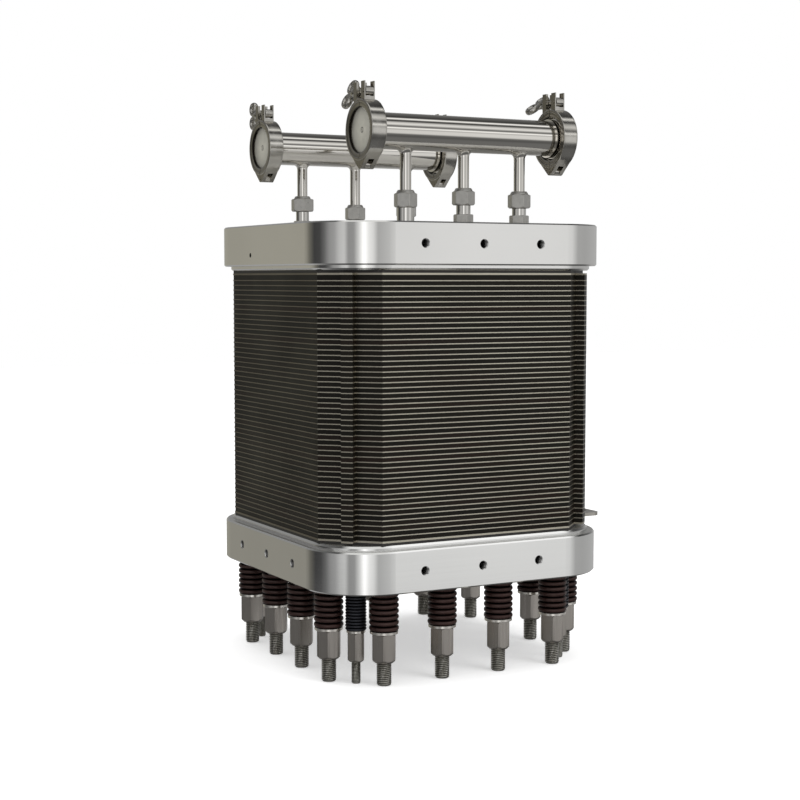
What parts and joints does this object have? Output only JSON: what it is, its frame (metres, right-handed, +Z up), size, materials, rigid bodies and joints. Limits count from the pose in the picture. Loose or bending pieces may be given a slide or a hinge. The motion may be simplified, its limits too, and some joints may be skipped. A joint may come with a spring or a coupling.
{
  "type": "pem electrolyzer",
  "caption": "Electrolyzer stack: square cells pressed between two thick end plates by sprung tie rods, with two pipe manifolds on risers above and clamped blank caps at their ends.",
  "frame": {"origin": "centre of the pattern of tie rod tips that the unit stands on, at the level of the tips", "axes": "+Z up along the stack, the manifolds along X, the front face towards -Y"},
  "size_m": [0.383, 0.383, 0.6353],
  "materials": {
    "plate_aluminium": "brushed, edges broken",
    "insulator_plastic": "matt sheet",
    "frame_plastic": "matt frames with fine metal lines between",
    "separator_metal": "cut edges",
    "membrane": "matt sheets",
    "bus_metal": "dark plated",
    "rod_steel": "oiled steel",
    "spring_steel": "phosphated, dark reddish brown",
    "nut_steel": "plain steel, drawn flats",
    "manifold_steel": "polished stainless steel",
    "fitting_steel": "turned stainless steel",
    "cap_steel": "matt stainless steel",
    "clamp_steel": "cast stainless steel, satin",
    "gasket_rubber": "pale elastomer"
  },
  "bodies": {
    "root": {"upper_end_plate": "plate_aluminium", "lower_end_plate": "plate_aluminium", "upper_insulator": "insulator_plastic", "lower_insulator": "insulator_plastic", "cell_frames": "frame_plastic", "separator_plates": "separator_metal", "membrane_assemblies": "membrane", "upper_bus_plate": "bus_metal", "lower_bus_plate": "bus_metal", "tie_rods": "rod_steel", "corner_tie_rods": "rod_steel", "disc_springs": "spring_steel", "corner_disc_springs": "spring_steel", "long_nuts": "nut_steel", "corner_long_nuts": "nut_steel", "front_manifold": "manifold_steel", "rear_manifold": "manifold_steel", "fitting_bodies": "fitting_steel", "fitting_nuts": "fitting_steel", "blank_caps": "cap_steel", "ferrule_gaskets": "gasket_rubber", "clamp_near_halves": "clamp_steel", "clamp_far_halves": "clamp_steel", "clamp_hinge_pins": "clamp_steel", "clamp_pivot_pins": "clamp_steel", "clamp_swing_bolts": "clamp_steel", "clamp_wing_nuts": "clamp_steel"}
  },
  "joints": []
}
